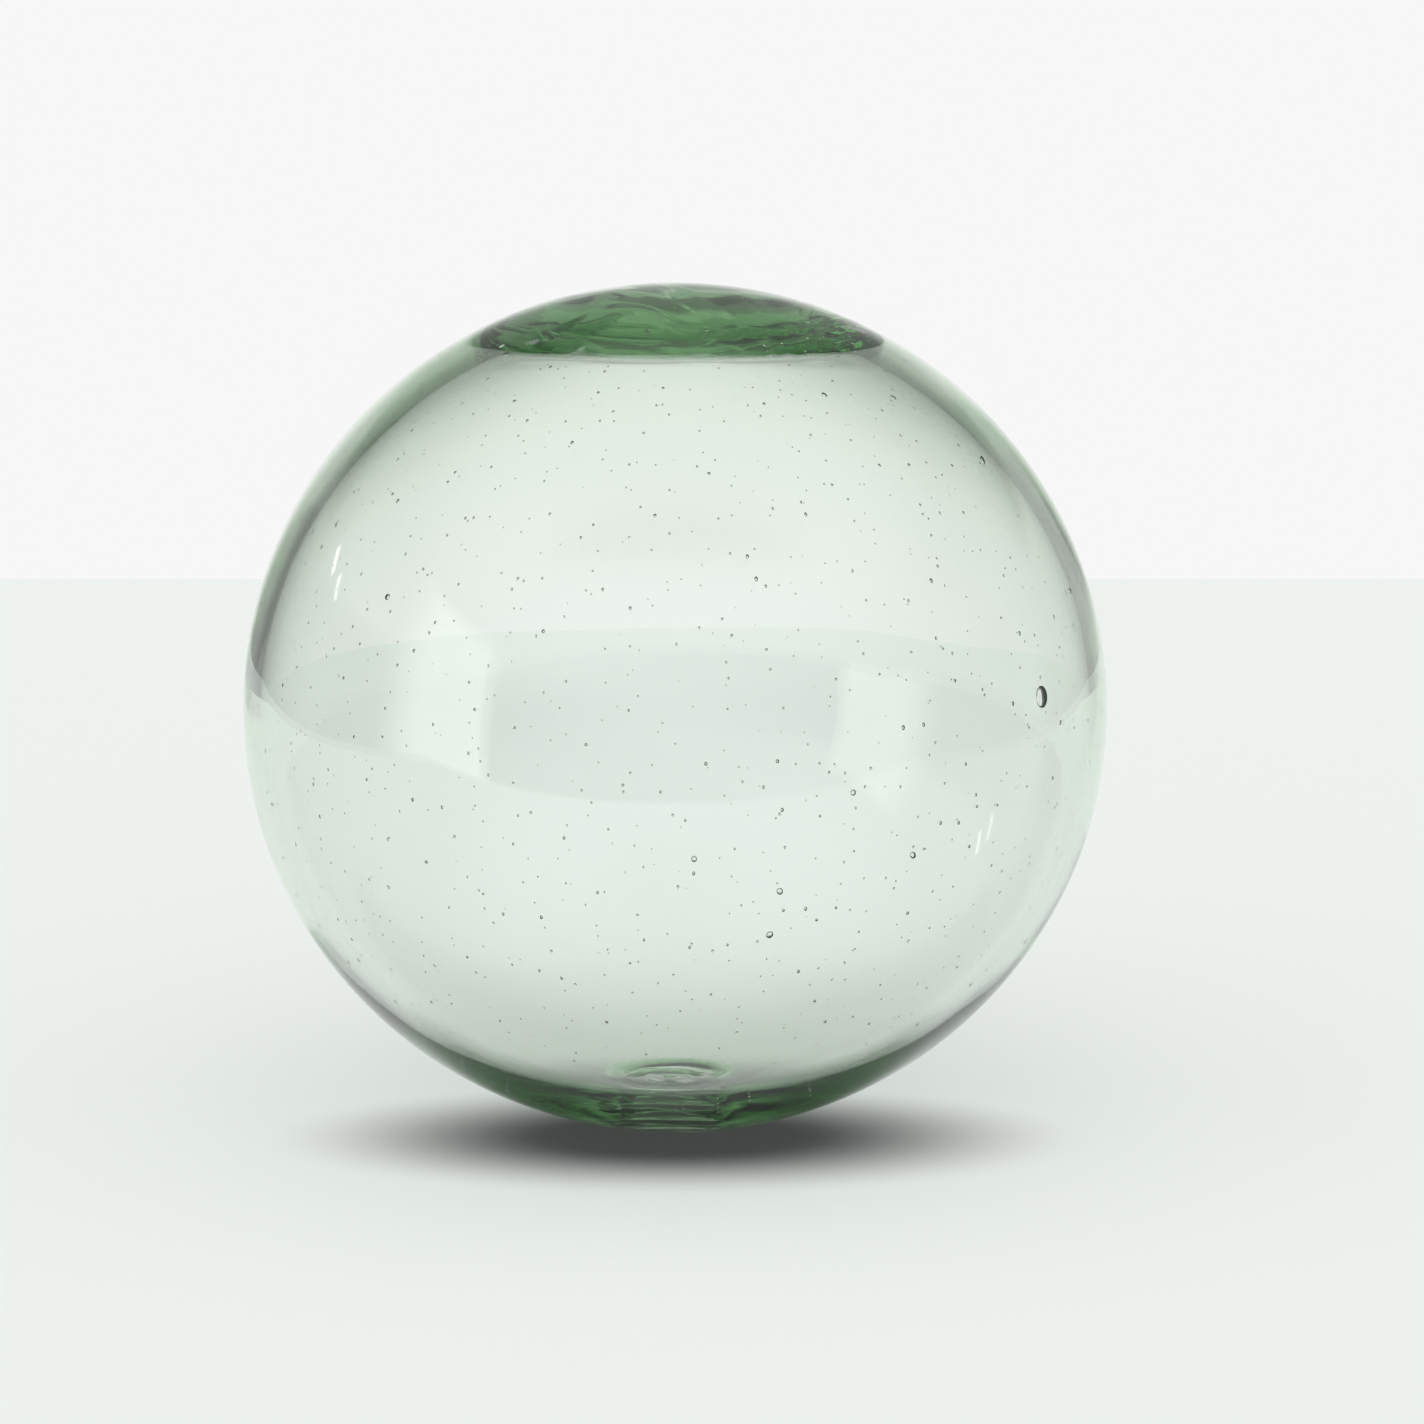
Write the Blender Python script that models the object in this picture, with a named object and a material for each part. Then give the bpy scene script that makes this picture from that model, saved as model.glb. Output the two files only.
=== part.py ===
"""A ball of pale green blown glass, sealed at the top and standing on a small flat spot.

The ball is one piece of glass. It is modelled filled, because its bubble of air is sealed in.
Metres, +Z up, with the origin on the ground under the middle of the ball.
"""

import math

import bmesh
import bpy

# The ball
BALL_WIDTH = 0.150
ROUND_HEIGHT = 0.1475  # of the round form, before the flat spot takes a little off the bottom

# The underside: a flat spot, and in its middle the shallow mark where the punty rod broke away
FOOT_WIDTH = 0.030
FOOT_EDGE = 0.0012  # how far the fire-polished edge of the flat spot is rounded
PUNTY_WIDTH = 0.016
PUNTY_DEPTH = 0.0009

# How finely the round forms are cut
STEPS_AROUND = 72
STEPS_UP = 34
STEPS_ACROSS_PUNTY = 3
EDGE_STEPS = 2

MERGE_WITHIN = 0.00001

# Pale bottle green, as it reads at the thin wall
GLASS_COLOUR = (0.70, 0.83, 0.74, 1.0)
GLASS_ROUGHNESS = 0.03
GLASS_IOR = 1.52


def clear_scene():
    for obj in list(bpy.data.objects):
        bpy.data.objects.remove(obj, do_unlink=True)


def glass_material():
    material = bpy.data.materials.new("pale_green_glass")
    material.use_nodes = True
    shader = material.node_tree.nodes["Principled BSDF"]
    shader.inputs["Base Color"].default_value = GLASS_COLOUR
    shader.inputs["Roughness"].default_value = GLASS_ROUGHNESS
    shader.inputs["Metallic"].default_value = 0.0
    shader.inputs["IOR"].default_value = GLASS_IOR
    shader.inputs["Transmission Weight"].default_value = 1.0
    return material


def round_profile():
    """Radius and height of the ball's side, from the edge of the flat spot up to the top."""
    half_width = BALL_WIDTH / 2
    half_height = ROUND_HEIGHT / 2
    foot_angle = math.asin(FOOT_WIDTH / BALL_WIDTH)
    centre = half_height * math.cos(foot_angle)
    points = []
    for step in range(STEPS_UP + 1):
        angle = foot_angle + (math.pi - foot_angle) * step / STEPS_UP
        points.append((half_width * math.sin(angle), centre - half_height * math.cos(angle)))
    return points


def punty_profile():
    """Radius and height of the shallow mark under the ball, from its middle out to its rim."""
    rim = PUNTY_WIDTH / 2
    points = []
    for step in range(STEPS_ACROSS_PUNTY + 1):
        share = step / STEPS_ACROSS_PUNTY
        points.append((rim * share, PUNTY_DEPTH * (1 - share * share)))
    return points


def turn_profile(mesh, profile):
    """Turns the profile about Z into a closed body."""
    shape = bmesh.new()
    verts = [shape.verts.new((radius, 0.0, height)) for radius, height in profile]
    edges = [shape.edges.new(pair) for pair in zip(verts, verts[1:])]
    bmesh.ops.spin(
        shape,
        geom=verts + edges,
        cent=(0, 0, 0),
        axis=(0, 0, 1),
        angle=2 * math.pi,
        steps=STEPS_AROUND,
        use_merge=True,
    )
    bmesh.ops.remove_doubles(shape, verts=shape.verts, dist=MERGE_WITHIN)
    bmesh.ops.recalc_face_normals(shape, faces=shape.faces)
    mark_foot_edge(shape)
    shape.to_mesh(mesh)
    shape.free()


def mark_foot_edge(shape):
    """Gives the ring round the flat spot the weight that the Bevel modifier reads."""
    weight = shape.edges.layers.float.new("bevel_weight_edge")
    foot_radius = FOOT_WIDTH / 2
    for edge in shape.edges:
        on_ring = all(
            abs(math.hypot(vert.co.x, vert.co.y) - foot_radius) < MERGE_WITHIN
            and abs(vert.co.z) < MERGE_WITHIN
            for vert in edge.verts
        )
        if on_ring:
            edge[weight] = 1.0


def glass_ball():
    mesh = bpy.data.meshes.new("glass_ball")
    turn_profile(mesh, punty_profile() + round_profile())
    mesh.materials.append(glass_material())
    mesh.shade_smooth()
    ball = bpy.data.objects.new("glass_ball", mesh)
    bpy.context.scene.collection.objects.link(ball)
    edge = ball.modifiers.new("polished_edge", "BEVEL")
    edge.limit_method = "WEIGHT"
    edge.width = FOOT_EDGE
    edge.segments = EDGE_STEPS
    return ball


def main():
    clear_scene()
    glass_ball()


main()
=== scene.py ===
"""Looks of the blown glass ball: a hollow ball of pale green seedy glass on a pale table, in soft light.

The glass is one closed body: an outer skin, the cavity's skin and the seeds of air between them.
"""

import math

import bmesh
import bpy
from mathutils import Matrix, Vector


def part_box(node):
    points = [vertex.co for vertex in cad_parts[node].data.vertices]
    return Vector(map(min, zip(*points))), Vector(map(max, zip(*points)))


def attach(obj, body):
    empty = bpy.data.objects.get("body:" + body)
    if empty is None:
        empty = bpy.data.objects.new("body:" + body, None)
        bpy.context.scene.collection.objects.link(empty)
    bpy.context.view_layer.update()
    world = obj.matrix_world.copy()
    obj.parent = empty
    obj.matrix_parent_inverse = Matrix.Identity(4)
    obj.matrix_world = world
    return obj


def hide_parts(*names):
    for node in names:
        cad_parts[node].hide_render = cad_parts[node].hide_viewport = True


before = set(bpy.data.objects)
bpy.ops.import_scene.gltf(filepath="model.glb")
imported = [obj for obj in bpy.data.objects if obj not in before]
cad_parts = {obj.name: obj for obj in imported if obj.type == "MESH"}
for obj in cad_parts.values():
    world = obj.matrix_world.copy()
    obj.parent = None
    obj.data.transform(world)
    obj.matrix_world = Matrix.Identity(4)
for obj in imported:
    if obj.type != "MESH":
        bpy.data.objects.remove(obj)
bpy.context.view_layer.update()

MM = 0.001
MATH = "ShaderNodeMath"
VECTOR_MATH = "ShaderNodeVectorMath"
MAP_RANGE = "ShaderNodeMapRange"

# The photograph
FRAME_SIDE = 1424  # pixels, both ways
BALL_MIDDLE = (675.5, 707.0)  # pixels, from the top left
BALL_HALF_WIDTH = 432.0  # pixels

# The ball, from the frame
LOW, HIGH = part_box("glass_ball")
HALF_WIDTH = (HIGH.x - LOW.x) / 2
FOOT_WIDTH = 30 * MM
ROUND_SHARE = 147.5 / 150  # height of the round form over its width, as the outline gives it
HALF_HEIGHT = HALF_WIDTH * ROUND_SHARE
FOOT_LEVEL = HALF_HEIGHT * math.cos(math.asin(FOOT_WIDTH / 2 / HALF_WIDTH))
MIDDLE = Vector((0.0, 0.0, FOOT_LEVEL))

# The wall, read at the rim: degrees of latitude and millimetres of glass
WALL = {-90: 4.8, -75: 4.2, -60: 3.0, -44: 1.9, -5: 2.3, 20: 2.9, 45: 3.7, 60: 4.0, 90: 4.4}
WALL_MOST = 10 * MM
WALL_FRONT = 0.72  # thinner by this at the front and back of the equator than at the sides

# The crown, where the ball was sealed: the cavity's ceiling is flattened and cordy
CEILING = 63.8 * MM  # above the ball's middle
CEILING_ROUNDING = 1.5 * MM
CEILING_SWELL = 0.5 * MM
CEILING_SWELL_GRAIN = 18.0  # waves a metre
KNOT = (19.0 * MM, -23.0 * MM)  # where the gather was pinched off
CORDS_AROUND = 12
CORD_SLOPE = 0.06
CORD_WANDER = 1.5
CORD_WANDER_GRAIN = 30.0  # waves a metre
THIN_CORDS = 2.37  # to each thick one
THIN_CORDS_SHARE = 0.25
CORDS_START = 3 * MM  # from the knot
CORDS_FULL = 8 * MM
FOLDS_AROUND = 7  # short folds close round the knot
FOLD_SLOPE = 0.10
FOLDS_FULL = 5 * MM
FOLDS_END = 10 * MM
CORDS_FADE = 27 * MM  # from the ball's axis
CORDS_END = 34 * MM
TWIST_LENGTH = 36 * MM
TWIST_WIDTH = 9 * MM
TWIST_FULL = 9 * MM  # from the knot
PINCH_LENGTH = 3 * MM
PINCH_SLOPE = 0.025
RELIEF_DEPTH = 3 * MM  # the relief fades out this far below the ceiling

# The base: the cavity's floor is flatter than the ball and the glass under it is thick
FLOOR = -68.2 * MM
FLOOR_ROUNDING = 3.0 * MM

# The underside
FOOT_EDGE = 1.2 * MM
PUNTY_WIDTH = 24 * MM
PUNTY_DEPTH = 1.0 * MM
PUNTY_RELIEF = 0.10 * MM
PUNTY_SEED = 2.0
SCAR_PLACE = (-1.6 * MM, -4.0 * MM)  # the same mark seen from inside, in the cavity's floor
SCAR_WIDTH = 27 * MM
SCAR_DEPTH = -1.3 * MM
SCAR_RELIEF = 0.30 * MM
SCAR_SEED = 5.0
RINGS_APART = 5.0 * MM
RINGS_WANDER = 5.0

# The hand-blown unevenness of each skin
OUTER_SWELL = 0.25 * MM
OUTER_SWELL_GRAIN = 1.6  # waves in the ball's half width
OUTER_SWELL_SEED = 3.0
CAVITY_SWELL = 0.35 * MM
CAVITY_SWELL_GRAIN = 1.3
CAVITY_SWELL_SEED = 8.0

# How finely the skins are cut: steps around and up, and how the steps crowd towards the crown and the foot
OUTER_CUT = (160, 100, 0.7, 0.0)
CAVITY_CUT = (300, 188, 0.7, 0.2)
WELD = 0.001 * MM

# Seeds of air
SEED_COUNT = 1500
SEED_LEAST = 0.28 * MM  # across
SEED_MOST = 0.66 * MM
SEED_FLATNESS = 0.6  # depth over width
SEED_LONGEST = 1.6  # length over width
SEED_SINK = 0.95 * MM  # from the outer skin
SEED_PLAY = 0.7 * MM
SEED_LOWEST = -0.955  # share of the half height below the ball's middle, clear of the flat foot

# Larger bubbles in the front wall: the photograph's pixel, width and length on the glass, and lean
BUBBLES = {
    "oval blister": ((1038, 697), 3.4 * MM, 3.6 * MM, 0),
    "dark grain": ((979, 463), 1.0 * MM, 1.9 * MM, -42),
    "crown pair, left": ((823, 398), 0.8 * MM, 1.1 * MM, 10),
    "crown pair, right": ((891, 401), 0.8 * MM, 1.1 * MM, 35),
    "crown tip": ((504, 350), 1.3 * MM, 1.5 * MM, 0),
    "middle": ((852, 792), 0.9 * MM, 1.0 * MM, 0),
    "low right": ((911, 854), 1.0 * MM, 1.3 * MM, 40),
    "low middle": ((779, 890), 1.0 * MM, 1.2 * MM, 20),
    "low pair, left": ((694, 858), 0.9 * MM, 1.0 * MM, 0),
    "low pair, right": ((769, 933), 1.1 * MM, 1.3 * MM, -20),
    "right rim": ((1065, 592), 1.2 * MM, 0.9 * MM, 0),
    "left": ((390, 598), 1.0 * MM, 1.0 * MM, 0),
}
BUBBLE_MOST_DEPTH = 0.9 * MM
BUBBLE_FLATNESS = 0.5  # depth over width
BUBBLE_SINK = 1.25 * MM  # from the outer skin

# The glass's face
CORDING_APART = 5 * MM
CORDING_LENGTH = 60 * MM
CORDING_HEIGHT = 0.012 * MM
RIPPLE_APART = 16 * MM
RIPPLE_SHARE = 2.0
SCUFF_GRAIN = 2 * MM
SCUFF_TOP = 0.25 * MM  # the foot's rim is rubbed up to here
SCUFF_MOST = 0.4

# Studio
CAMERA_RISE = math.radians(10.0)
CAMERA_LENS = 85.0
SENSOR = 36.0
TABLE_TOP = -0.2 * MM
TABLE_BACK = 0.70
TABLE_FRONT = 0.35
TABLE_SIDE = 0.70
TABLE_GLOW = 0.57
MATT_GRAIN = 0.8 * MM  # the real sheet's grain is finer, and would not show
MATT_LEAST = 0.6
MATT_MOST = 0.8
PIT_DEPTH = 0.05 * MM
PAINTED_SHADE = (0.0, -18 * MM)  # the middle of the painted shade: a contact shadow painted into the table's colour and glow round the ball's foot
PAINTED_SHADE_HALF_WIDTH = 52 * MM
PAINTED_SHADE_HALF_DEPTH = 24 * MM
PAINTED_SHADE_FULL = 0.4  # share of the way out from the middle
PAINTED_SHADE_ENDS = 1.4
PAINTED_SHADE_LEFT = 0.09  # share of the table's colour and glow that the painted shade leaves there
BACKDROP = 0.93
BACKDROP_FULL = math.radians(14)
BACKDROP_ENDS = math.radians(28)
BACKDROP_TOP_FULL = math.radians(4)
BACKDROP_TOP_ENDS = math.radians(20)
# Brightness of the room, by degrees to the left of the front: the boards that stand low, the walls above them
ROOM_BOARDS = {
    -180: 0.28,
    -160: 0.45,
    -130: 0.52,
    -50: 0.54,
    -8: 0.26,
    35: 0.13,
    92: 0.13,
    112: 0.34,
    140: 0.32,
    180: 0.28,
}
ROOM_WALLS = {
    -180: 0.34,
    -160: 0.34,
    -151: 0.12,
    -139: 0.12,
    -128: 0.48,
    -70: 0.72,
    0: 0.56,
    70: 0.72,
    128: 0.48,
    139: 0.12,
    151: 0.12,
    160: 0.34,
    180: 0.34,
}
BOARDS_FULL = math.radians(14)
BOARDS_END = math.radians(18)
CEILING_LIGHT = 1.35
CEILING_LIGHT_RISE = math.radians(66)  # above the front horizon
CEILING_LIGHT_FULL = math.radians(25)  # from its middle
CEILING_LIGHT_ENDS = math.radians(70)
SOFTBOX = 1.9
SOFTBOX_FRONT = math.radians(50)  # round to the left from the front
SOFTBOX_BACK = math.radians(77)
SOFTBOX_TOP_FRONT = math.radians(22.5)
SOFTBOX_TOP_BACK = math.radians(30)
SOFTBOX_EDGE = 0.02  # radians to each side
SOFTBOX_FADE = 0.15
STRIP = 4.0
STRIP_FROM = (math.radians(115.4), math.radians(16.2))  # round to the left and up
STRIP_TO = (math.radians(119.5), math.radians(19.2))
STRIP_WIDTH = math.radians(1.2)
STRIP_EDGE = 0.01


def linear(code):
    """An sRGB hex code as linear red, green, blue and a full alpha."""
    channels = [int(code[place : place + 2], 16) / 255 for place in (1, 3, 5)]
    low = [value / 12.92 for value in channels]
    high = [((value + 0.055) / 1.055) ** 2.4 for value in channels]
    return (*[a if value <= 0.04045 else b for value, a, b in zip(channels, low, high)], 1.0)


def add_node(tree, kind, links=None, **settings):
    """Adds a node with its settings. A link is a node, for its first output, an output or a plain value."""
    node = tree.nodes.new(kind)
    for name, value in settings.items():
        setattr(node, name, value)
    for socket, value in (links or {}).items():
        if isinstance(value, bpy.types.Node):
            value = value.outputs[0]
        if isinstance(value, bpy.types.NodeSocket):
            tree.links.new(value, node.inputs[socket])
        else:
            node.inputs[socket].default_value = value
    return node


def draw_curve(node, readings):
    """Puts a Float Curve through these points."""
    points = node.mapping.curves[0].points
    points[0].location = readings[0]
    points[1].location = readings[-1]
    for reading in readings[1:-1]:
        points.new(*reading)
    node.mapping.update()


# Materials


def bottle_glass():
    """Soda-lime glass from melted bottles, free-blown, clear and glossy.

    It looks greener the further one looks through it. Its fire-polished face ripples a little, fine level
    cords from the turning of the blowpipe bend what is mirrored in it, and the foot's rim is rubbed matt.
    """
    material = bpy.data.materials.new("blown_bottle_glass")
    material.use_nodes = True
    tree = material.node_tree
    shader = tree.nodes["Principled BSDF"]
    shader.inputs["Base Color"].default_value = linear("#FFFFFF")
    place = add_node(tree, "ShaderNodeTexCoord").outputs["Object"]
    height = add_node(tree, "ShaderNodeSeparateXYZ", {0: place}).outputs["Z"]
    rubbed = add_node(
        tree,
        MAP_RANGE,
        {"Value": height, "From Min": SCUFF_TOP, "From Max": 0.0, "To Max": SCUFF_MOST},
    )
    scuffs = add_node(tree, "ShaderNodeTexNoise", {"Vector": place, "Scale": 1 / SCUFF_GRAIN, "Detail": 0.0})
    worn = add_node(tree, MATH, {0: scuffs, 1: rubbed}, operation="MULTIPLY")
    tree.links.new(worn.outputs[0], shader.inputs["Roughness"])
    share = (1 / CORDING_LENGTH, 1 / CORDING_LENGTH, 1 / CORDING_APART)
    drawn = add_node(tree, VECTOR_MATH, {0: place, 1: share}, operation="MULTIPLY")
    cording = add_node(tree, "ShaderNodeTexNoise", {"Vector": drawn, "Scale": 1.0, "Detail": 0.0})
    ripple = add_node(tree, "ShaderNodeTexNoise", {"Vector": place, "Scale": 1 / RIPPLE_APART, "Detail": 0.0})
    both = add_node(tree, MATH, {0: ripple, 1: RIPPLE_SHARE, 2: cording}, operation="MULTIPLY_ADD")
    face = add_node(tree, "ShaderNodeBump", {"Height": both, "Strength": 1.0, "Distance": CORDING_HEIGHT})
    tree.links.new(face.outputs["Normal"], shader.inputs["Normal"])
    shader.inputs["IOR"].default_value = 1.52
    shader.inputs["Transmission Weight"].default_value = 1.0
    tint = add_node(tree, "ShaderNodeVolumeAbsorption", {"Color": linear("#95CB8F"), "Density": 45.0})
    tree.links.new(tint.outputs["Volume"], tree.nodes["Material Output"].inputs["Volume"])
    return material


def light_table_acrylic():
    """Matt opal acrylic sheet of a light table: pale, lit through from below, with a shadow painted into its
    colour and glow round the foot.
    """
    material = bpy.data.materials.new("opal_acrylic_light_table")
    material.use_nodes = True
    tree = material.node_tree
    shader = tree.nodes["Principled BSDF"]
    place = add_node(tree, "ShaderNodeTexCoord").outputs["Object"]
    # painted shade: the colour and the glow darken in an oval round the ball's foot, standing in for its
    # contact shadow
    from_painted_shade = add_node(tree, VECTOR_MATH, {0: place, 1: (*PAINTED_SHADE, 0.0)}, operation="SUBTRACT")
    share = (1 / PAINTED_SHADE_HALF_WIDTH, 1 / PAINTED_SHADE_HALF_DEPTH, 0.0)
    across = add_node(tree, VECTOR_MATH, {0: from_painted_shade, 1: share}, operation="MULTIPLY")
    out = add_node(tree, VECTOR_MATH, {0: across}, operation="LENGTH").outputs["Value"]
    light = add_node(
        tree,
        MAP_RANGE,
        {
            "Value": out,
            "From Min": PAINTED_SHADE_FULL,
            "From Max": PAINTED_SHADE_ENDS,
            "To Min": PAINTED_SHADE_LEFT,
            "To Max": 1.0,
        },
        interpolation_type="SMOOTHSTEP",
    )
    # the glow, dimmed where the shade is painted
    glow = add_node(tree, MATH, {0: light, 1: TABLE_GLOW}, operation="MULTIPLY")
    colour = add_node(tree, VECTOR_MATH, {0: linear("#A0A3A1")[:3], "Scale": light}, operation="SCALE")
    tree.links.new(colour.outputs[0], shader.inputs["Base Color"])
    grain = add_node(tree, "ShaderNodeTexNoise", {"Vector": place, "Scale": 1 / MATT_GRAIN, "Detail": 2.0})
    matt = add_node(tree, MAP_RANGE, {"Value": grain, "To Min": MATT_LEAST, "To Max": MATT_MOST})
    tree.links.new(matt.outputs[0], shader.inputs["Roughness"])
    pits = add_node(tree, "ShaderNodeBump", {"Height": grain, "Strength": 0.3, "Distance": PIT_DEPTH})
    tree.links.new(pits.outputs["Normal"], shader.inputs["Normal"])
    shader.inputs["Specular IOR Level"].default_value = 0.1
    shader.inputs["Emission Color"].default_value = linear("#F3F8F5")
    tree.links.new(glow.outputs[0], shader.inputs["Emission Strength"])
    return material


# Glass


def new_tree(name, sizes):
    """A Geometry Nodes tree with a geometry in and out and one named number for each size."""
    tree = bpy.data.node_groups.new(name, "GeometryNodeTree")
    tree.interface.new_socket("Geometry", in_out="INPUT", socket_type="NodeSocketGeometry")
    for size in sizes:
        tree.interface.new_socket(size, in_out="INPUT", socket_type="NodeSocketFloat")
    tree.interface.new_socket("Geometry", in_out="OUTPUT", socket_type="NodeSocketGeometry")
    return tree, add_node(tree, "NodeGroupInput").outputs


def polar_net(tree, cut):
    """A flat net of points, with each point's direction from the middle of a ball and its latitude.

    The points are crowded towards the crown and the foot, where the glass has its relief.
    """
    around, high, crowding, spreading = cut
    net = add_node(
        tree,
        "GeometryNodeMeshGrid",
        {"Size X": 1.0, "Size Y": 1.0, "Vertices X": around + 1, "Vertices Y": high + 1},
    )
    place = add_node(tree, "ShaderNodeSeparateXYZ", {0: add_node(tree, "GeometryNodeInputPosition")})
    turn = add_node(tree, MATH, {0: place.outputs["X"], 1: 2 * math.pi}, operation="MULTIPLY")
    twice = add_node(tree, MATH, {0: place.outputs["Y"], 1: 2 * math.pi}, operation="MULTIPLY")
    bend = add_node(tree, MATH, {0: twice}, operation="SINE")
    crowded = add_node(tree, MATH, {0: bend, 1: crowding, 2: twice}, operation="MULTIPLY_ADD")
    again = add_node(tree, MATH, {0: twice, 1: 2.0}, operation="MULTIPLY")
    second_bend = add_node(tree, MATH, {0: again}, operation="SINE")
    both = add_node(tree, MATH, {0: second_bend, 1: spreading, 2: crowded}, operation="MULTIPLY_ADD")
    latitude = add_node(tree, MATH, {0: both, 1: 0.5}, operation="MULTIPLY")
    across = add_node(tree, MATH, {0: latitude}, operation="COSINE")
    up = add_node(tree, MATH, {0: latitude}, operation="SINE")
    eastwards = add_node(tree, MATH, {0: turn}, operation="COSINE")
    northwards = add_node(tree, MATH, {0: turn}, operation="SINE")
    east = add_node(tree, MATH, {0: across, 1: eastwards}, operation="MULTIPLY")
    north = add_node(tree, MATH, {0: across, 1: northwards}, operation="MULTIPLY")
    direction = add_node(tree, "ShaderNodeCombineXYZ", {0: east, 1: north, 2: up})
    return net, direction, latitude


def swollen(tree, direction, radii, swell, grain, turn):
    """Points at these radii in these directions, moved in or out a little by a slow noise."""
    base = add_node(tree, VECTOR_MATH, {0: direction, 1: radii}, operation="MULTIPLY")
    noise = add_node(
        tree,
        "ShaderNodeTexNoise",
        {"Vector": direction, "W": turn, "Scale": grain, "Detail": 1.0},
        noise_dimensions="4D",
    )
    centred = add_node(tree, MATH, {0: noise, 1: 0.5}, operation="SUBTRACT")
    amount = add_node(tree, MATH, {0: centred, 1: swell}, operation="MULTIPLY")
    offset = add_node(tree, VECTOR_MATH, {0: direction, "Scale": amount}, operation="SCALE")
    return add_node(tree, VECTOR_MATH, {0: base, 1: offset}, operation="ADD")


def close_skin(tree, net, place, material, inward):
    """Moves the net to its places, welds its seam and poles, and ends the tree."""
    raised = add_node(tree, VECTOR_MATH, {0: place, 1: tuple(MIDDLE)}, operation="ADD")
    moved = add_node(tree, "GeometryNodeSetPosition", {"Geometry": net, "Position": raised})
    welded = add_node(tree, "GeometryNodeMergeByDistance", {"Geometry": moved, "Distance": WELD})
    smooth = add_node(tree, "GeometryNodeSetShadeSmooth", {0: welded})
    if inward:
        smooth = add_node(tree, "GeometryNodeFlipFaces", {0: smooth})
    real = add_node(tree, "GeometryNodeRealizeInstances", {0: smooth})
    glazed = add_node(tree, "GeometryNodeSetMaterial", {0: real, "Material": material})
    add_node(tree, "NodeGroupOutput", {0: glazed})


def ringed_dish(tree, part, place, width, depth, relief, turn):
    """How far a skin is hollowed upwards round the punty rod's place: a shallow dish with uneven rings."""
    here = add_node(tree, "ShaderNodeCombineXYZ", {0: part.outputs["X"], 1: part.outputs["Y"]})
    level = add_node(tree, VECTOR_MATH, {0: here, 1: (*place, 0.0)}, operation="SUBTRACT")
    reach = add_node(tree, VECTOR_MATH, {0: level}, operation="LENGTH").outputs["Value"]
    noise = add_node(
        tree,
        "ShaderNodeTexNoise",
        {"Vector": level, "W": turn, "Scale": 3 / width, "Detail": 2.0},
        noise_dimensions="4D",
    )
    wander = add_node(tree, MATH, {0: noise, 1: RINGS_WANDER * 2}, operation="MULTIPLY")
    closeness = 2 * math.pi / RINGS_APART
    phase = add_node(tree, MATH, {0: reach, 1: closeness, 2: wander}, operation="MULTIPLY_ADD")
    wave = add_node(tree, MATH, {0: phase}, operation="SINE")
    rings = add_node(tree, MATH, {0: wave, 1: relief, 2: depth}, operation="MULTIPLY_ADD")
    inside = add_node(
        tree,
        MAP_RANGE,
        {"Value": reach, "From Min": width / 2, "From Max": width / 4},
        interpolation_type="SMOOTHSTEP",
    )
    below = add_node(tree, MATH, {0: part.outputs["Z"], 1: 0.0}, operation="LESS_THAN")
    hollow = add_node(tree, MATH, {0: rings, 1: inside}, operation="MULTIPLY")
    return add_node(tree, MATH, {0: hollow, 1: below}, operation="MULTIPLY")


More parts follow.
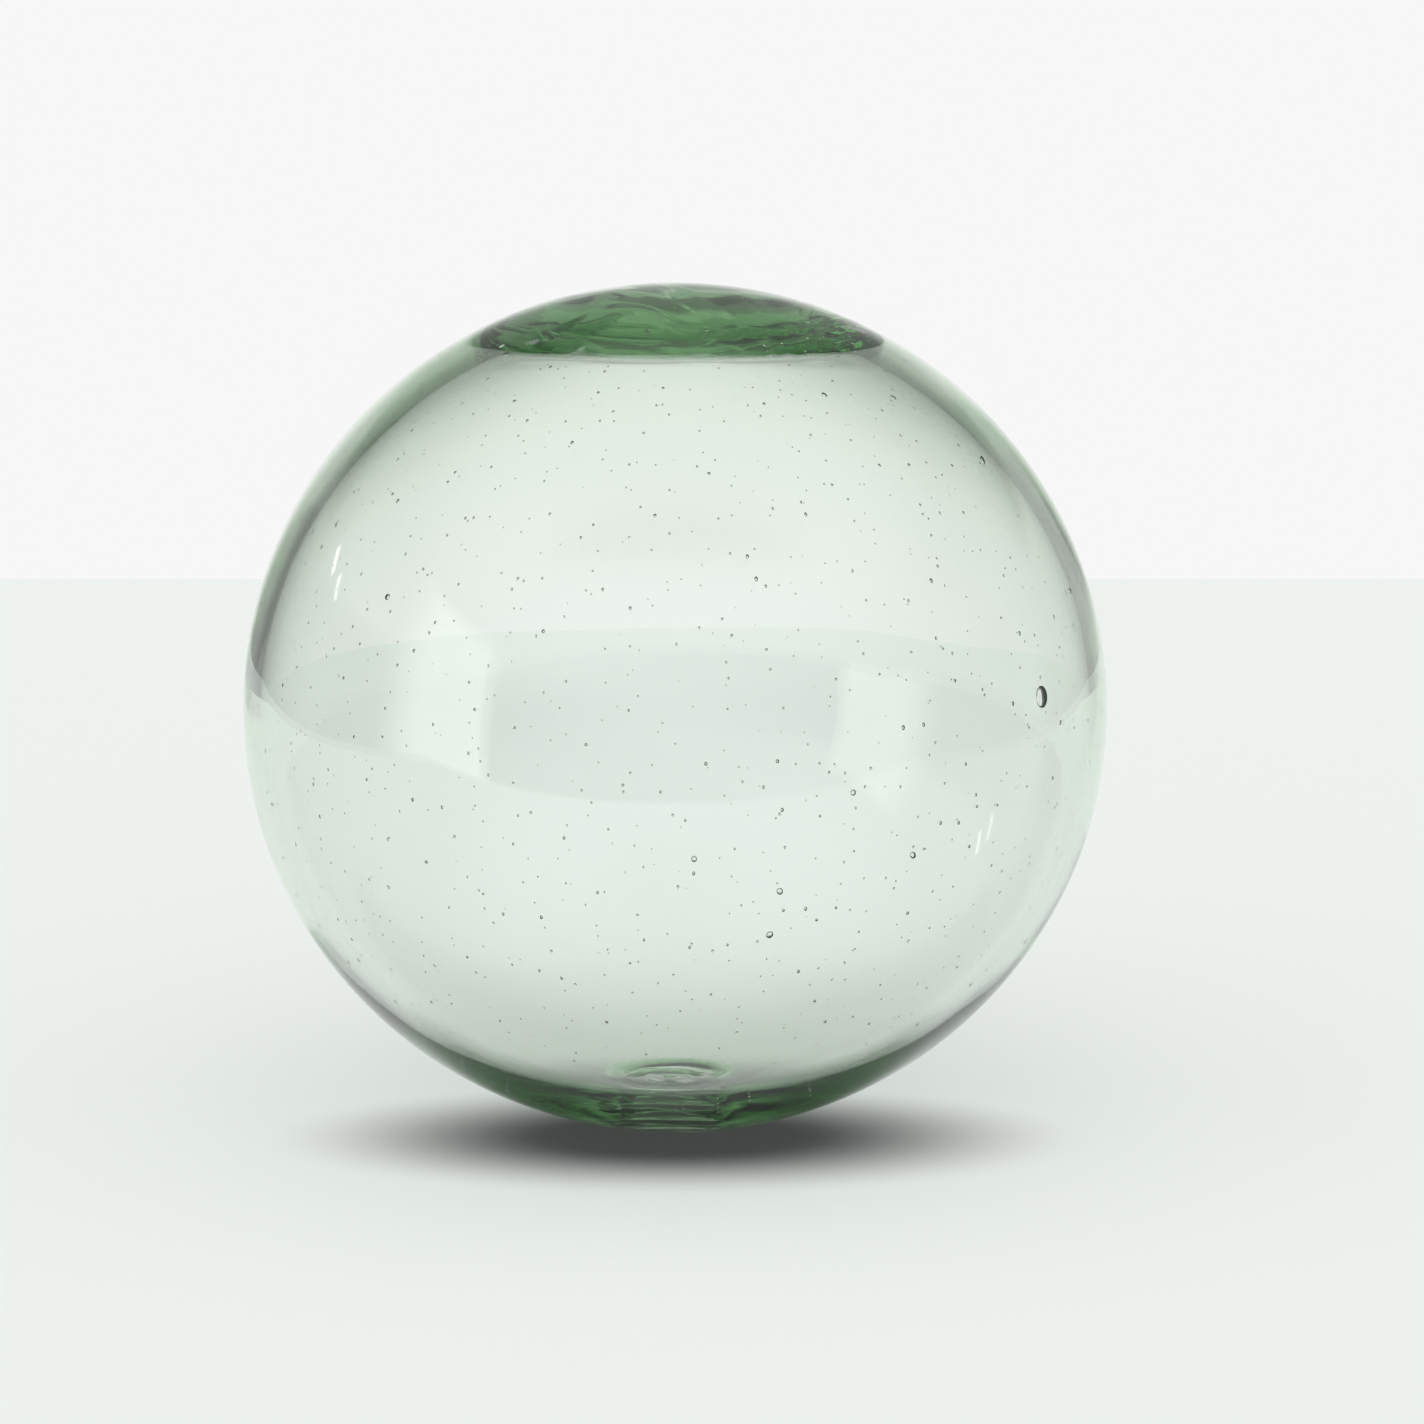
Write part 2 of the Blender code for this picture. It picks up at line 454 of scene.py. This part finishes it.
def ceiling_relief(tree, part):
    """How far the cavity's ceiling hangs down: cords that fan out from the knot in a twist, and a slope."""
    level = add_node(tree, "ShaderNodeCombineXYZ", {0: part.outputs["X"], 1: part.outputs["Y"]})
    reach = add_node(tree, VECTOR_MATH, {0: level}, operation="LENGTH").outputs["Value"]
    away = add_node(tree, VECTOR_MATH, {0: (*KNOT, 0.0), 1: level}, operation="SUBTRACT")
    from_knot = add_node(tree, VECTOR_MATH, {0: away}, operation="LENGTH").outputs["Value"]
    side = add_node(tree, "ShaderNodeSeparateXYZ", {0: away})
    lap = add_node(tree, MATH, {0: side.outputs["X"], 1: 2 * math.pi / TWIST_LENGTH}, operation="MULTIPLY")
    twist = add_node(tree, MATH, {0: lap}, operation="SINE")
    loose = add_node(
        tree,
        MAP_RANGE,
        {"Value": from_knot, "From Max": TWIST_FULL, "To Max": -TWIST_WIDTH},
        interpolation_type="SMOOTHSTEP",
    )
    across = add_node(tree, MATH, {0: twist, 1: loose, 2: side.outputs["Y"]}, operation="MULTIPLY_ADD")
    turn = add_node(tree, MATH, {0: across, 1: side.outputs["X"]}, operation="ARCTAN2")
    noise = add_node(tree, "ShaderNodeTexNoise", {"Vector": level, "Scale": CORD_WANDER_GRAIN, "Detail": 0.0})
    wander = add_node(tree, MATH, {0: noise, 1: CORD_WANDER * 2}, operation="MULTIPLY")
    phase = add_node(tree, MATH, {0: turn, 1: CORDS_AROUND, 2: wander}, operation="MULTIPLY_ADD")
    thick = add_node(tree, MATH, {0: phase}, operation="SINE")
    faster = add_node(tree, MATH, {0: phase, 1: THIN_CORDS, 2: 1.0}, operation="MULTIPLY_ADD")
    thin = add_node(tree, MATH, {0: faster}, operation="SINE")
    wave = add_node(tree, MATH, {0: thin, 1: THIN_CORDS_SHARE, 2: thick}, operation="MULTIPLY_ADD")
    slope = add_node(
        tree,
        MAP_RANGE,
        {
            "Value": from_knot,
            "From Min": CORDS_START,
            "From Max": CORDS_FULL,
            "To Max": CORD_SLOPE / CORDS_AROUND,
        },
        interpolation_type="SMOOTHSTEP",
    )
    grown = add_node(tree, MATH, {0: from_knot, 1: slope}, operation="MULTIPLY")
    fold_turn = add_node(tree, MATH, {0: turn, 1: FOLDS_AROUND, 2: wander}, operation="MULTIPLY_ADD")
    fold_wave = add_node(tree, MATH, {0: fold_turn}, operation="SINE")
    fold_slope = add_node(
        tree,
        MAP_RANGE,
        {
            "Value": from_knot,
            "From Min": FOLDS_END,
            "From Max": FOLDS_FULL,
            "To Max": FOLD_SLOPE / FOLDS_AROUND,
        },
        interpolation_type="SMOOTHSTEP",
    )
    fold_height = add_node(tree, MATH, {0: from_knot, 1: fold_slope}, operation="MULTIPLY")
    folds = add_node(tree, MATH, {0: fold_wave, 1: fold_height}, operation="MULTIPLY")
    inside = add_node(
        tree,
        MAP_RANGE,
        {"Value": reach, "From Min": CORDS_END, "From Max": CORDS_FADE},
        interpolation_type="SMOOTHSTEP",
    )
    strength = add_node(tree, MATH, {0: grown, 1: inside}, operation="MULTIPLY")
    cords = add_node(tree, MATH, {0: wave, 1: strength, 2: folds}, operation="MULTIPLY_ADD")
    beyond = add_node(tree, MATH, {0: side.outputs["X"], 1: -1.0}, operation="MULTIPLY")
    past = add_node(tree, MATH, {0: beyond, 1: 0.0, 2: PINCH_LENGTH}, operation="SMOOTH_MAX")
    pinch = add_node(tree, MATH, {0: past, 1: PINCH_SLOPE}, operation="MULTIPLY")
    swell = add_node(
        tree,
        "ShaderNodeTexNoise",
        {"Vector": level, "Scale": CEILING_SWELL_GRAIN, "Detail": 0.0},
    )
    slow = add_node(tree, MATH, {0: swell, 1: CEILING_SWELL, 2: pinch}, operation="MULTIPLY_ADD")
    hanging = add_node(tree, MATH, {0: cords, 1: slow}, operation="ADD")
    near = add_node(
        tree,
        MAP_RANGE,
        {"Value": part.outputs["Z"], "From Min": CEILING - RELIEF_DEPTH, "From Max": CEILING},
        interpolation_type="SMOOTHSTEP",
    )
    return add_node(tree, MATH, {0: hanging, 1: near}, operation="MULTIPLY")


def seeds_tree(material, sizes):
    """Seeds: small bubbles of air that the melt kept, drawn a little long, between the two skins."""
    tree, size = new_tree("seeds", sizes)
    ball = add_node(tree, "GeometryNodeMeshIcoSphere", {"Radius": 1.0, "Subdivisions": 4})
    face = add_node(tree, "ShaderNodeSeparateXYZ", {0: add_node(tree, "GeometryNodeInputPosition")})
    above_foot = add_node(tree, MATH, {0: face.outputs["Z"], 1: SEED_LOWEST}, operation="GREATER_THAN")
    points = add_node(
        tree,
        "GeometryNodeDistributePointsOnFaces",
        {"Mesh": ball, "Selection": above_foot, "Density": size["Seeds Each Unit"], "Seed": 7},
        distribute_method="RANDOM",
    )
    start = add_node(tree, "GeometryNodeInputPosition")
    direction = add_node(tree, VECTOR_MATH, {0: start}, operation="NORMALIZE")
    half = size["Half Width"]
    radii = add_node(tree, "ShaderNodeCombineXYZ", {0: half, 1: half, 2: size["Half Height"]})
    at = add_node(tree, VECTOR_MATH, {0: direction, 1: radii}, operation="MULTIPLY")
    play = add_node(tree, "FunctionNodeRandomValue", {2: -0.5, 3: 0.5, "Seed": 11}, data_type="FLOAT")
    sink = add_node(tree, MATH, {0: play.outputs[1], 1: size["Depth Play"]}, operation="MULTIPLY")
    sunk = add_node(tree, VECTOR_MATH, {0: direction, "Scale": sink}, operation="SCALE")
    moved = add_node(tree, VECTOR_MATH, {0: at, 1: sunk}, operation="ADD")
    raised = add_node(tree, VECTOR_MATH, {0: moved, 1: tuple(MIDDLE)}, operation="ADD")
    scattered = points.outputs["Points"]
    placed = add_node(tree, "GeometryNodeSetPosition", {"Geometry": scattered, "Position": raised})
    chance = add_node(tree, "FunctionNodeRandomValue", {2: 0.0, 3: 1.0, "Seed": 23}, data_type="FLOAT")
    rare = add_node(tree, MATH, {0: chance.outputs[1], 1: 2.0}, operation="POWER")
    least, most = size["Least Width"], size["Most Width"]
    width = add_node(tree, MAP_RANGE, {"Value": rare, "To Min": least, "To Max": most})
    drawn = {2: 1.0, 3: SEED_LONGEST, "Seed": 31}
    length = add_node(tree, "FunctionNodeRandomValue", drawn, data_type="FLOAT")
    long = add_node(tree, MATH, {0: width, 1: length.outputs[1]}, operation="MULTIPLY")
    thin = add_node(tree, MATH, {0: width, 1: size["Flatness"]}, operation="MULTIPLY")
    form = add_node(tree, "ShaderNodeCombineXYZ", {0: width, 1: long, 2: thin})
    bubble = add_node(tree, "GeometryNodeMeshUVSphere", {"Segments": 6, "Rings": 3, "Radius": 0.5})
    smooth = add_node(tree, "GeometryNodeSetShadeSmooth", {0: bubble})
    void = add_node(tree, "GeometryNodeFlipFaces", {0: smooth})
    seeds = add_node(
        tree,
        "GeometryNodeInstanceOnPoints",
        {"Points": placed, "Instance": void, "Rotation": points.outputs["Rotation"], "Scale": form},
    )
    real = add_node(tree, "GeometryNodeRealizeInstances", {0: seeds})
    glazed = add_node(tree, "GeometryNodeSetMaterial", {0: real, "Material": material})
    add_node(tree, "NodeGroupOutput", {0: glazed})
    return tree


def outer_skin_tree(material, sizes):
    """The ball's outside: a round a little lower than wide, cut flat at the foot, and the punty mark."""
    tree, size = new_tree("outer_skin", sizes)
    net, direction, _ = polar_net(tree, OUTER_CUT)
    half = size["Half Width"]
    radii = add_node(tree, "ShaderNodeCombineXYZ", {0: half, 1: half, 2: size["Half Height"]})
    place = swollen(tree, direction, radii, size["Swell"], OUTER_SWELL_GRAIN, OUTER_SWELL_SEED)
    part = add_node(tree, "ShaderNodeSeparateXYZ", {0: place})
    foot = add_node(tree, MATH, {0: part.outputs["Z"], 1: -FOOT_LEVEL, 2: FOOT_EDGE}, operation="SMOOTH_MAX")
    mark = ringed_dish(tree, part, (0.0, 0.0), PUNTY_WIDTH, PUNTY_DEPTH, PUNTY_RELIEF, PUNTY_SEED)
    marked = add_node(tree, MATH, {0: foot, 1: mark}, operation="ADD")
    whole = add_node(tree, "ShaderNodeCombineXYZ", {0: part.outputs["X"], 1: part.outputs["Y"], 2: marked})
    close_skin(tree, net, whole, material, inward=False)
    return tree


def cavity_tree(material, sizes):
    """The air inside: the wall's thickness in from the round, with a cordy ceiling and a scarred floor."""
    tree, size = new_tree("cavity", sizes)
    net, direction, latitude = polar_net(tree, CAVITY_CUT)
    share = add_node(tree, MAP_RANGE, {"Value": latitude, "From Min": -math.pi / 2, "From Max": math.pi / 2})
    curve = add_node(tree, "ShaderNodeFloatCurve", {"Value": share})
    draw_curve(curve, [((degrees + 90) / 180, depth * MM / WALL_MOST) for degrees, depth in WALL.items()])
    facing = add_node(tree, "ShaderNodeSeparateXYZ", {0: direction})
    square = add_node(tree, MATH, {0: facing.outputs["Y"], 1: 2.0}, operation="POWER")
    thinnest = WALL_MOST * WALL_FRONT
    thinning = add_node(tree, MAP_RANGE, {"Value": square, "To Min": WALL_MOST, "To Max": thinnest})
    wall = add_node(tree, MATH, {0: curve, 1: thinning}, operation="MULTIPLY")
    wide = add_node(tree, MATH, {0: size["Half Width"], 1: wall}, operation="SUBTRACT")
    tall = add_node(tree, MATH, {0: size["Half Height"], 1: wall}, operation="SUBTRACT")
    radii = add_node(tree, "ShaderNodeCombineXYZ", {0: wide, 1: wide, 2: tall})
    place = swollen(tree, direction, radii, size["Swell"], CAVITY_SWELL_GRAIN, CAVITY_SWELL_SEED)
    part = add_node(tree, "ShaderNodeSeparateXYZ", {0: place})
    high = part.outputs["Z"]
    ceiling = add_node(tree, MATH, {0: high, 1: CEILING, 2: CEILING_ROUNDING}, operation="SMOOTH_MIN")
    hung = add_node(tree, MATH, {0: ceiling, 1: ceiling_relief(tree, part)}, operation="SUBTRACT")
    floored = add_node(tree, MATH, {0: hung, 1: FLOOR, 2: FLOOR_ROUNDING}, operation="SMOOTH_MAX")
    scar = ringed_dish(tree, part, SCAR_PLACE, SCAR_WIDTH, SCAR_DEPTH, SCAR_RELIEF, SCAR_SEED)
    scarred = add_node(tree, MATH, {0: floored, 1: scar}, operation="ADD")
    whole = add_node(tree, "ShaderNodeCombineXYZ", {0: part.outputs["X"], 1: part.outputs["Y"], 2: scarred})
    close_skin(tree, net, whole, material, inward=True)
    return tree


def grown(name, tree, sizes):
    """What a Geometry Nodes tree makes with these sizes, as a plain object."""
    seed = bpy.data.objects.new(name + "_start", bpy.data.meshes.new(name + "_start"))
    bpy.context.scene.collection.objects.link(seed)
    modifier = seed.modifiers.new(name, "NODES")
    modifier.node_group = tree
    for socket in tree.interface.items_tree:
        if socket.name in sizes:
            modifier[socket.identifier] = sizes[socket.name]
    bpy.context.view_layer.update()
    evaluated = seed.evaluated_get(bpy.context.evaluated_depsgraph_get())
    mesh = bpy.data.meshes.new_from_object(evaluated)
    mesh.name = name
    seed.modifiers.remove(modifier)
    bpy.data.objects.remove(seed)
    made = bpy.data.objects.new(name, mesh)
    bpy.context.scene.collection.objects.link(made)
    return made


def front_wall(pixel, sink):
    """The place in the front wall, this far in from the outer skin, that the photograph shows at a pixel."""
    camera = bpy.context.scene.camera
    away = SENSOR / CAMERA_LENS / FRAME_SIDE
    ray = Vector(((pixel[0] - FRAME_SIDE / 2) * away, (FRAME_SIDE / 2 - pixel[1]) * away, -1.0))
    ray.rotate(camera.rotation_euler)
    radii = Vector((HALF_WIDTH - sink, HALF_WIDTH - sink, HALF_HEIGHT - sink))
    start = Vector([a / b for a, b in zip(camera.location - MIDDLE, radii)])
    step = Vector([a / b for a, b in zip(ray, radii)])
    half = start.dot(step) / step.dot(step)
    travel = -half - math.sqrt(half * half - (start.dot(start) - 1) / step.dot(step))
    return camera.location + travel * ray


def blow_bubbles():
    """The larger bubbles as one mesh: flattened rounds of air that lie along the wall, turned inside out."""
    form = bmesh.new()
    for pixel, width, length, lean in BUBBLES.values():
        place = front_wall(pixel, BUBBLE_SINK)
        outwards = (place - MIDDLE).normalized()
        side = Vector((0.0, 0.0, 1.0)).cross(outwards).normalized()
        up = outwards.cross(side)
        lay = Matrix((side, up, outwards)).transposed().to_4x4()
        turn = Matrix.Rotation(math.radians(lean), 4, "Z")
        depth = min(BUBBLE_MOST_DEPTH, width * BUBBLE_FLATNESS)
        size = Matrix.Diagonal((width / 2, length / 2, depth / 2, 1.0))
        where = Matrix.Translation(place) @ lay @ turn @ size
        bmesh.ops.create_uvsphere(form, u_segments=20, v_segments=12, radius=1.0, matrix=where)
    bmesh.ops.recalc_face_normals(form, faces=form.faces)
    bmesh.ops.reverse_faces(form, faces=form.faces)
    for face in form.faces:
        face.smooth = True
    mesh = bpy.data.meshes.new("bubbles")
    form.to_mesh(mesh)
    form.free()
    return mesh


def make_glass(material):
    """The whole ball as one mesh: the outer skin, the cavity's skin, the seeds and the bubbles."""
    skin_sizes = {"Half Width": HALF_WIDTH, "Half Height": HALF_HEIGHT, "Swell": OUTER_SWELL}
    cavity_sizes = {"Half Width": HALF_WIDTH, "Half Height": HALF_HEIGHT, "Swell": CAVITY_SWELL}
    seed_sizes = {
        "Half Width": HALF_WIDTH - SEED_SINK,
        "Half Height": HALF_HEIGHT - SEED_SINK,
        "Seeds Each Unit": SEED_COUNT / (4 * math.pi),
        "Least Width": SEED_LEAST,
        "Most Width": SEED_MOST,
        "Flatness": SEED_FLATNESS,
        "Depth Play": SEED_PLAY,
    }
    outer = grown("outer_skin", outer_skin_tree(material, skin_sizes), skin_sizes)
    cavity = grown("cavity", cavity_tree(material, cavity_sizes), cavity_sizes)
    seeds = grown("seeds", seeds_tree(material, seed_sizes), seed_sizes)
    whole = bmesh.new()
    for piece in (outer, cavity, seeds):
        whole.from_mesh(piece.data)
        bpy.data.objects.remove(piece)
    whole.from_mesh(blow_bubbles())
    mesh = bpy.data.meshes.new("hollow_glass")
    whole.to_mesh(mesh)
    whole.free()
    mesh.materials.clear()
    mesh.materials.append(material)
    glass = bpy.data.objects.new("hollow_glass", mesh)
    bpy.context.scene.collection.objects.link(glass)
    return glass


# Studio


def make_table(material):
    """The light table that the ball stands on."""
    mesh = bpy.data.meshes.new("table")
    corners = [
        (x, y, TABLE_TOP)
        for x, y in (
            (-TABLE_SIDE, -TABLE_FRONT),
            (TABLE_SIDE, -TABLE_FRONT),
            (TABLE_SIDE, TABLE_BACK),
            (-TABLE_SIDE, TABLE_BACK),
        )
    ]
    mesh.from_pydata(corners, [], [(0, 1, 2, 3)])
    mesh.materials.append(material)
    table = bpy.data.objects.new("table", mesh)
    bpy.context.scene.collection.objects.link(table)


def light_world():
    """The room by direction: a white backdrop, boards, walls, a ceiling, a softbox and a strip light."""
    world = bpy.data.worlds.new("studio")
    world.use_nodes = True
    bpy.context.scene.world = world
    tree = world.node_tree
    towards = add_node(tree, "ShaderNodeTexCoord").outputs["Generated"]
    part = add_node(tree, "ShaderNodeSeparateXYZ", {0: towards})
    level = add_node(tree, "ShaderNodeCombineXYZ", {0: part.outputs["X"], 1: part.outputs["Y"]})
    unit = add_node(tree, VECTOR_MATH, {0: level}, operation="NORMALIZE")
    flat = add_node(tree, "ShaderNodeSeparateXYZ", {0: unit})
    leftwards = add_node(tree, MATH, {0: part.outputs["X"], 1: -1.0}, operation="MULTIPLY")
    frontwards = add_node(tree, MATH, {0: part.outputs["Y"], 1: -1.0}, operation="MULTIPLY")
    round_left = add_node(tree, MATH, {0: leftwards, 1: frontwards}, operation="ARCTAN2")
    rise = add_node(tree, MATH, {0: part.outputs["Z"]}, operation="ARCSINE")

    # pale boards that stand low, and darker walls above them
    share = add_node(tree, MAP_RANGE, {"Value": round_left, "From Min": -math.pi, "From Max": math.pi})
    boards = add_node(tree, "ShaderNodeFloatCurve", {"Value": share})
    draw_curve(boards, [((degrees + 180) / 360, value) for degrees, value in ROOM_BOARDS.items()])
    upper = add_node(tree, "ShaderNodeFloatCurve", {"Value": share})
    draw_curve(upper, [((degrees + 180) / 360, value) for degrees, value in ROOM_WALLS.items()])
    walls = add_node(
        tree,
        MAP_RANGE,
        {"Value": rise, "From Min": BOARDS_FULL, "From Max": BOARDS_END, "To Min": boards, "To Max": upper},
        interpolation_type="SMOOTHSTEP",
    )

    # the ceiling's light, over the front
    over = (0.0, -math.cos(CEILING_LIGHT_RISE), math.sin(CEILING_LIGHT_RISE))
    near = add_node(tree, VECTOR_MATH, {0: towards, 1: over}, operation="DOT_PRODUCT").outputs["Value"]
    ceiling = add_node(
        tree,
        MAP_RANGE,
        {
            "Value": near,
            "From Min": math.cos(CEILING_LIGHT_ENDS),
            "From Max": math.cos(CEILING_LIGHT_FULL),
            "To Min": walls.outputs[0],
            "To Max": CEILING_LIGHT,
        },
        interpolation_type="SMOOTHSTEP",
    )

    # the backdrop
    aside = add_node(
        tree,
        MAP_RANGE,
        {
            "Value": flat.outputs["Y"],
            "From Min": math.cos(BACKDROP_ENDS),
            "From Max": math.cos(BACKDROP_FULL),
        },
        interpolation_type="SMOOTHSTEP",
    )
    above = add_node(
        tree,
        MAP_RANGE,
        {
            "Value": part.outputs["Z"],
            "From Min": math.sin(BACKDROP_TOP_ENDS),
            "From Max": math.sin(BACKDROP_TOP_FULL),
        },
        interpolation_type="SMOOTHSTEP",
    )
    backdrop = add_node(tree, MATH, {0: aside, 1: above}, operation="MULTIPLY")
    behind = add_node(tree, MAP_RANGE, {"Value": backdrop, "To Min": ceiling, "To Max": BACKDROP})

    # the softbox at the left, whose far side fades
    front_edge = add_node(
        tree,
        MAP_RANGE,
        {
            "Value": round_left,
            "From Min": SOFTBOX_FRONT - SOFTBOX_EDGE,
            "From Max": SOFTBOX_FRONT + SOFTBOX_EDGE,
        },
        interpolation_type="SMOOTHSTEP",
    )
    back_edge = add_node(
        tree,
        MAP_RANGE,
        {
            "Value": round_left,
            "From Min": SOFTBOX_BACK + SOFTBOX_FADE,
            "From Max": SOFTBOX_BACK - SOFTBOX_FADE,
        },
        interpolation_type="SMOOTHSTEP",
    )
    top = add_node(
        tree,
        MAP_RANGE,
        {
            "Value": round_left,
            "From Min": SOFTBOX_FRONT,
            "From Max": SOFTBOX_BACK,
            "To Min": SOFTBOX_TOP_FRONT,
            "To Max": SOFTBOX_TOP_BACK,
        },
        clamp=False,
    )
    under = add_node(tree, MATH, {0: top, 1: rise}, operation="SUBTRACT")
    top_edge = add_node(
        tree,
        MAP_RANGE,
        {"Value": under, "From Min": -SOFTBOX_EDGE, "From Max": SOFTBOX_EDGE},
        interpolation_type="SMOOTHSTEP",
    )
    sides = add_node(tree, MATH, {0: front_edge, 1: back_edge}, operation="MULTIPLY")
    box = add_node(tree, MATH, {0: sides, 1: top_edge}, operation="MULTIPLY")
    boxed = add_node(tree, MAP_RANGE, {"Value": box, "To Min": behind, "To Max": SOFTBOX})

    # the strip light, back at the left
    here = add_node(tree, "ShaderNodeCombineXYZ", {0: round_left, 1: rise})
    run = Vector(STRIP_TO) - Vector(STRIP_FROM)
    middle = (Vector(STRIP_TO) + Vector(STRIP_FROM)) / 2
    offset = add_node(tree, VECTOR_MATH, {0: here, 1: (*middle, 0.0)}, operation="SUBTRACT")
    along = add_node(tree, VECTOR_MATH, {0: offset, 1: (*run.normalized(), 0.0)}, operation="DOT_PRODUCT")
    across = (-run.normalized().y, run.normalized().x, 0.0)
    beside = add_node(tree, VECTOR_MATH, {0: offset, 1: across}, operation="DOT_PRODUCT")
    end = add_node(tree, MATH, {0: along.outputs["Value"]}, operation="ABSOLUTE")
    wide = add_node(tree, MATH, {0: beside.outputs["Value"]}, operation="ABSOLUTE")
    in_length = add_node(
        tree,
        MAP_RANGE,
        {"Value": end, "From Min": run.length / 2 + STRIP_EDGE, "From Max": run.length / 2 - STRIP_EDGE},
        interpolation_type="SMOOTHSTEP",
    )
    in_width = add_node(
        tree,
        MAP_RANGE,
        {"Value": wide, "From Min": STRIP_WIDTH, "From Max": 0.0, "To Max": STRIP},
        interpolation_type="SMOOTHSTEP",
    )
    strip = add_node(tree, MATH, {0: in_length, 1: in_width, 2: boxed}, operation="MULTIPLY_ADD")

    background = tree.nodes["Background"]
    background.inputs["Color"].default_value = linear("#FFFFFF")
    tree.links.new(strip.outputs[0], background.inputs["Strength"])


def place_camera():
    """The camera at the photograph's height and distance, which puts the ball where the photograph has it."""
    camera = bpy.data.cameras.new("camera")
    camera.lens = CAMERA_LENS
    camera.sensor_width = SENSOR
    half_view = BALL_HALF_WIDTH / FRAME_SIDE * SENSOR / CAMERA_LENS
    distance = HALF_WIDTH / math.sin(math.atan(half_view))
    towards = Vector((0.0, -math.cos(CAMERA_RISE), math.sin(CAMERA_RISE)))
    upwards = Vector((0.0, math.sin(CAMERA_RISE), math.cos(CAMERA_RISE)))
    pixel = HALF_WIDTH / BALL_HALF_WIDTH
    right = (FRAME_SIDE / 2 - BALL_MIDDLE[0]) * pixel
    down = (FRAME_SIDE / 2 - BALL_MIDDLE[1]) * pixel
    aim = MIDDLE + Vector((right, 0.0, 0.0)) - upwards * down
    stand = bpy.data.objects.new("camera", camera)
    stand.location = aim + towards * distance
    stand.rotation_euler = (-towards).to_track_quat("-Z", "Y").to_euler()
    bpy.context.scene.collection.objects.link(stand)
    bpy.context.scene.camera = stand


place_camera()
glass = make_glass(bottle_glass())
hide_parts("glass_ball")
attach(glass, "root")
make_table(light_table_acrylic())
light_world()
scene = bpy.context.scene
scene.view_settings.view_transform = "Standard"
scene.cycles.max_bounces = 40
scene.cycles.transmission_bounces = 40
scene.cycles.glossy_bounces = 40
